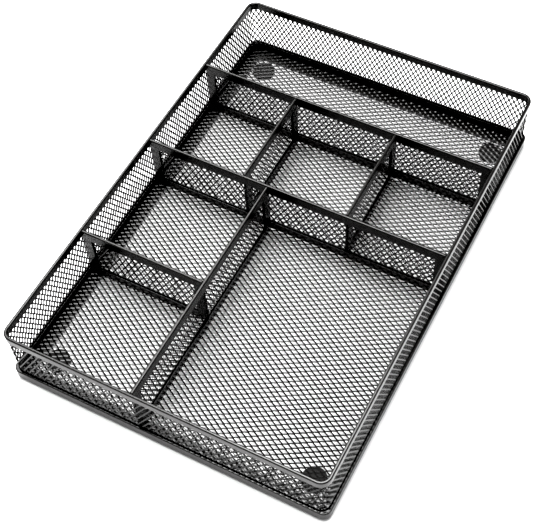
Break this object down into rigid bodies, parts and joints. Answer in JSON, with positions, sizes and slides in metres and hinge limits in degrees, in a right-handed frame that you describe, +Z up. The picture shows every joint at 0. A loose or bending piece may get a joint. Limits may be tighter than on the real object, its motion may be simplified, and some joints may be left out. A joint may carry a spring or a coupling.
{
  "type": "desk organizer",
  "caption": "Shallow rectangular desk and drawer organizer of black expanded-metal mesh, with a folded rim, framed mesh dividers, a raised base frame and round rubber feet.",
  "frame": {"origin": "on the surface the tray stands on, under the middle of its outline", "axes": "+X to the right along the short side, +Y to the back along the long side, +Z up"},
  "size_m": [0.304, 0.442, 0.068],
  "materials": {
    "frame": "satin black powder coat",
    "mesh": "satin black powder coat on expanded steel",
    "rubber": "matte black rubber"
  },
  "bodies": {
    "root": {"top_rim": "frame", "wall_mesh": "mesh", "base_frame": "frame", "floor_mesh": "mesh", "foot_front_left": "rubber", "foot_front_right": "rubber", "foot_back_left": "rubber", "foot_back_right": "rubber", "back_divider_mesh": "mesh", "back_divider_top_rail": "frame", "back_divider_bottom_rail": "frame", "back_divider_start_post": "frame", "back_divider_end_post": "frame", "middle_divider_mesh": "mesh", "middle_divider_top_rail": "frame", "middle_divider_bottom_rail": "frame", "middle_divider_start_post": "frame", "middle_divider_end_post": "frame", "left_divider_mesh": "mesh", "left_divider_top_rail": "frame", "left_divider_bottom_rail": "frame", "left_divider_start_post": "frame", "left_divider_end_post": "frame", "back_left_divider_mesh": "mesh", "back_left_divider_top_rail": "frame", "back_left_divider_bottom_rail": "frame", "back_left_divider_start_post": "frame", "back_left_divider_end_post": "frame", "back_right_divider_mesh": "mesh", "back_right_divider_top_rail": "frame", "back_right_divider_bottom_rail": "frame", "back_right_divider_start_post": "frame", "back_right_divider_end_post": "frame", "front_divider_mesh": "mesh", "front_divider_top_rail": "frame", "front_divider_bottom_rail": "frame", "front_divider_start_post": "frame", "front_divider_end_post": "frame"}
  },
  "joints": []
}
